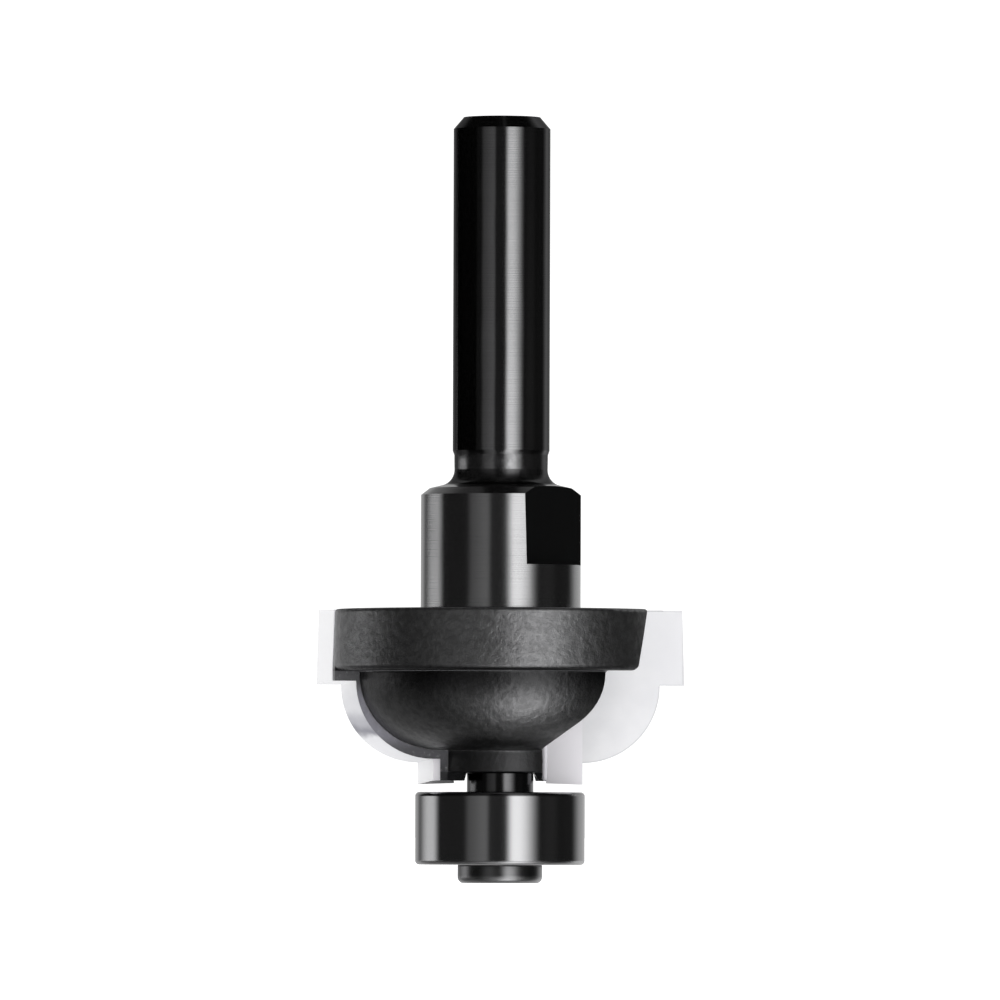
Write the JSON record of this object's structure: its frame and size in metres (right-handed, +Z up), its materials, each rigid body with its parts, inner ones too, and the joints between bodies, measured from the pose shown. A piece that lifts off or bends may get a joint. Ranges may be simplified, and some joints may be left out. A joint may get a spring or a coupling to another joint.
{
  "type": "router bit",
  "caption": "Cove profile router bit with a straight shank, brazed carbide cutters and a ball-bearing pilot.",
  "frame": {"origin": "on the cutter's axis, on the plane of the pilot screw's head that it stands on", "axes": "+Z up the shank; +X towards the tip whose cutting face points to -Y"},
  "size_m": [0.0304, 0.0278, 0.0632],
  "materials": {
    "coated_steel": "satin black coating, gloss on the shank",
    "carbide": "finely ground, bright",
    "screw_steel": "black oxide",
    "bearing_steel": "finely ground, dark",
    "ball_steel": "polished",
    "cage_steel": "pressed sheet",
    "shield_steel": "pressed sheet",
    "spring_wire": "drawn wire"
  },
  "bodies": {
    "cutter": {"cutter_body": "coated_steel", "carbide_tip_1": "carbide", "carbide_tip_2": "carbide", "pilot_screw": "screw_steel", "bearing_inner_ring": "bearing_steel"},
    "bearing_rim": {"bearing_outer_ring": "bearing_steel", "shield_upper": "shield_steel", "shield_lower": "shield_steel", "snap_ring_upper": "spring_wire", "snap_ring_lower": "spring_wire"},
    "bearing_cage": {"cage_upper": "cage_steel", "cage_lower": "cage_steel", "cage_rivets": "cage_steel"},
    "ball_1_body": {"ball_1": "ball_steel"},
    "ball_2_body": {"ball_2": "ball_steel"},
    "ball_3_body": {"ball_3": "ball_steel"},
    "ball_4_body": {"ball_4": "ball_steel"},
    "ball_5_body": {"ball_5": "ball_steel"},
    "ball_6_body": {"ball_6": "ball_steel"},
    "ball_7_body": {"ball_7": "ball_steel"}
  },
  "joints": [
    {"name": "rim_spin", "type": "hinge", "parent": "cutter", "child": "bearing_rim", "pos_m": [0, 0, 0.0045], "axis": [0, 0, 1], "continuous": true},
    {"name": "cage_spin", "type": "hinge", "parent": "cutter", "child": "bearing_cage", "pos_m": [0, 0, 0.0045], "axis": [0, 0, 1], "continuous": true},
    {"name": "ball_1_roll", "type": "hinge", "parent": "bearing_cage", "child": "ball_1_body", "pos_m": [0.0045, 0, 0.0045], "axis": [0, 0, 1], "continuous": true},
    {"name": "ball_2_roll", "type": "hinge", "parent": "bearing_cage", "child": "ball_2_body", "pos_m": [0.00281, 0.00352, 0.0045], "axis": [0, 0, 1], "continuous": true},
    {"name": "ball_3_roll", "type": "hinge", "parent": "bearing_cage", "child": "ball_3_body", "pos_m": [-0.001, 0.00439, 0.0045], "axis": [0, 0, 1], "continuous": true},
    {"name": "ball_4_roll", "type": "hinge", "parent": "bearing_cage", "child": "ball_4_body", "pos_m": [-0.00405, 0.00195, 0.0045], "axis": [0, 0, 1], "continuous": true},
    {"name": "ball_5_roll", "type": "hinge", "parent": "bearing_cage", "child": "ball_5_body", "pos_m": [-0.00405, -0.00195, 0.0045], "axis": [0, 0, 1], "continuous": true},
    {"name": "ball_6_roll", "type": "hinge", "parent": "bearing_cage", "child": "ball_6_body", "pos_m": [-0.001, -0.00439, 0.0045], "axis": [0, 0, 1], "continuous": true},
    {"name": "ball_7_roll", "type": "hinge", "parent": "bearing_cage", "child": "ball_7_body", "pos_m": [0.00281, -0.00352, 0.0045], "axis": [0, 0, 1], "continuous": true}
  ],
  "couplings": [
    {"joint": "cage_spin", "follows": "rim_spin", "ratio": 0.63889},
    {"joint": "ball_1_roll", "follows": "rim_spin", "ratio": 1.6611},
    {"joint": "ball_2_roll", "follows": "rim_spin", "ratio": 1.6611},
    {"joint": "ball_3_roll", "follows": "rim_spin", "ratio": 1.6611},
    {"joint": "ball_4_roll", "follows": "rim_spin", "ratio": 1.6611},
    {"joint": "ball_5_roll", "follows": "rim_spin", "ratio": 1.6611},
    {"joint": "ball_6_roll", "follows": "rim_spin", "ratio": 1.6611},
    {"joint": "ball_7_roll", "follows": "rim_spin", "ratio": 1.6611}
  ]
}
